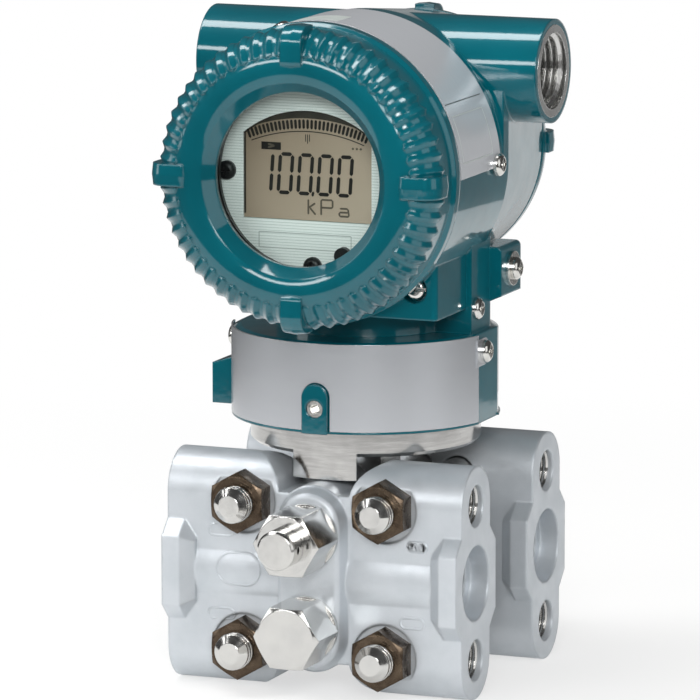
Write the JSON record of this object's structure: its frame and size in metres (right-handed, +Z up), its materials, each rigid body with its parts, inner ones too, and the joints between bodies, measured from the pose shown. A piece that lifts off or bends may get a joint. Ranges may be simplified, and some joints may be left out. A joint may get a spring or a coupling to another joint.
{
  "type": "differential pressure transmitter",
  "caption": "Differential pressure transmitter: clamped process flanges, sensor capsule, and a swivelling head with digital display, conduit tube and screwed covers.",
  "frame": {"origin": "on the neck axis, in the plane that the four flange lobes stand on", "axes": "+Z up along the neck axis; +X along the process ports and conduit tube, towards their open ends; the display faces -Y"},
  "size_m": [0.0966, 0.1286, 0.1789],
  "materials": {
    "teal_enamel": "gloss",
    "cast_stainless": "matte",
    "machined_stainless": "satin",
    "brushed_stainless": "satin",
    "weathered_steel": "satin",
    "nickel_steel": "polished",
    "printed_plate": "satin",
    "black_moulding": "matte",
    "lcd_glass": "gloss",
    "clear_glass": "gloss",
    "seal_rubber": "matte",
    "circuit_board": "satin",
    "brass": "satin",
    "white_gasket": "matte"
  },
  "bodies": {
    "pressure_section": {"front_flange": "cast_stainless", "rear_flange": "cast_stainless", "capsule_body": "machined_stainless", "sensor_header": "nickel_steel", "front_capsule_gasket": "white_gasket", "rear_capsule_gasket": "white_gasket", "front_diaphragm": "machined_stainless", "rear_diaphragm": "machined_stainless", "flange_bolts": "machined_stainless", "flange_nuts": "weathered_steel", "vent_plugs": "machined_stainless", "drain_plugs": "machined_stainless", "neck_seal": "seal_rubber"},
    "head": {"housing": "teal_enamel", "swivel_set_screw": "nickel_steel", "conduit_plug": "nickel_steel", "tag_band": "brushed_stainless", "nameplate": "brushed_stainless", "band_screws": "nickel_steel", "nameplate_screws": "nickel_steel", "pedestal_screw": "nickel_steel", "earth_washer": "nickel_steel", "earth_screw": "nickel_steel", "display_bezel": "printed_plate", "display_case": "black_moulding", "lcd_panel": "lcd_glass", "display_screws": "black_moulding", "cpu_board": "circuit_board", "board_standoffs": "brass", "display_standoffs": "brass", "feedthrough": "brass", "terminal_block": "black_moulding", "terminal_screws": "nickel_steel", "internal_earth_screw": "nickel_steel"},
    "front_vent_screw": {"front_vent_screw": "machined_stainless"},
    "rear_vent_screw": {"rear_vent_screw": "machined_stainless"},
    "zero_adjust_screw": {"zero_adjust_screw": "nickel_steel"},
    "range_button": {"range_button": "black_moulding"},
    "indicator_cover_seal": {"indicator_cover_seal": "seal_rubber"},
    "indicator_cover": {"indicator_cover": "teal_enamel", "window_gasket": "seal_rubber", "window_glass": "clear_glass", "window_retainer": "nickel_steel"},
    "terminal_cover_seal": {"terminal_cover_seal": "seal_rubber"},
    "terminal_cover": {"terminal_cover": "teal_enamel"}
  },
  "joints": [
    {"name": "head_swivel", "type": "hinge", "parent": "pressure_section", "child": "head", "pos_m": [0, 0, 0.078], "axis": [0, 0, 1], "range_deg": [-180, 180]},
    {"name": "front_vent_turn", "type": "hinge", "parent": "pressure_section", "child": "front_vent_screw", "pos_m": [0, -0.06, 0.0435], "axis": [0, -1, 0], "range_deg": [0, 360]},
    {"name": "rear_vent_turn", "type": "hinge", "parent": "pressure_section", "child": "rear_vent_screw", "pos_m": [0, 0.06, 0.0435], "axis": [0, 1, 0], "range_deg": [0, 360]},
    {"name": "zero_adjust_turn", "type": "hinge", "parent": "head", "child": "zero_adjust_screw", "pos_m": [0.02525, -0.0279, 0.1085], "axis": [0, -1, 0], "continuous": true},
    {"name": "range_button_push", "type": "slide", "parent": "head", "child": "range_button", "axis": [0, 1, 0], "range_m": [0, 0.001], "stiffness_N_per_m": 300, "springref_m": -0.001},
    {"name": "indicator_cover_slide", "type": "slide", "parent": "head", "child": "indicator_cover_seal", "axis": [0, -1, 0], "range_m": [0, 0.008]},
    {"name": "indicator_cover_turn", "type": "hinge", "parent": "indicator_cover_seal", "child": "indicator_cover", "pos_m": [0, -0.044, 0.13855], "axis": [0, -1, 0], "range_deg": [0, 1440]},
    {"name": "terminal_cover_slide", "type": "slide", "parent": "head", "child": "terminal_cover_seal", "axis": [0, 1, 0], "range_m": [0, 0.008]},
    {"name": "terminal_cover_turn", "type": "hinge", "parent": "terminal_cover_seal", "child": "terminal_cover", "pos_m": [0, 0.044, 0.13855], "axis": [0, 1, 0], "range_deg": [0, 1440]}
  ],
  "couplings": [
    {"joint": "indicator_cover_slide", "follows": "indicator_cover_turn", "m_per_rad": 0.0003183},
    {"joint": "terminal_cover_slide", "follows": "terminal_cover_turn", "m_per_rad": 0.0003183}
  ]
}
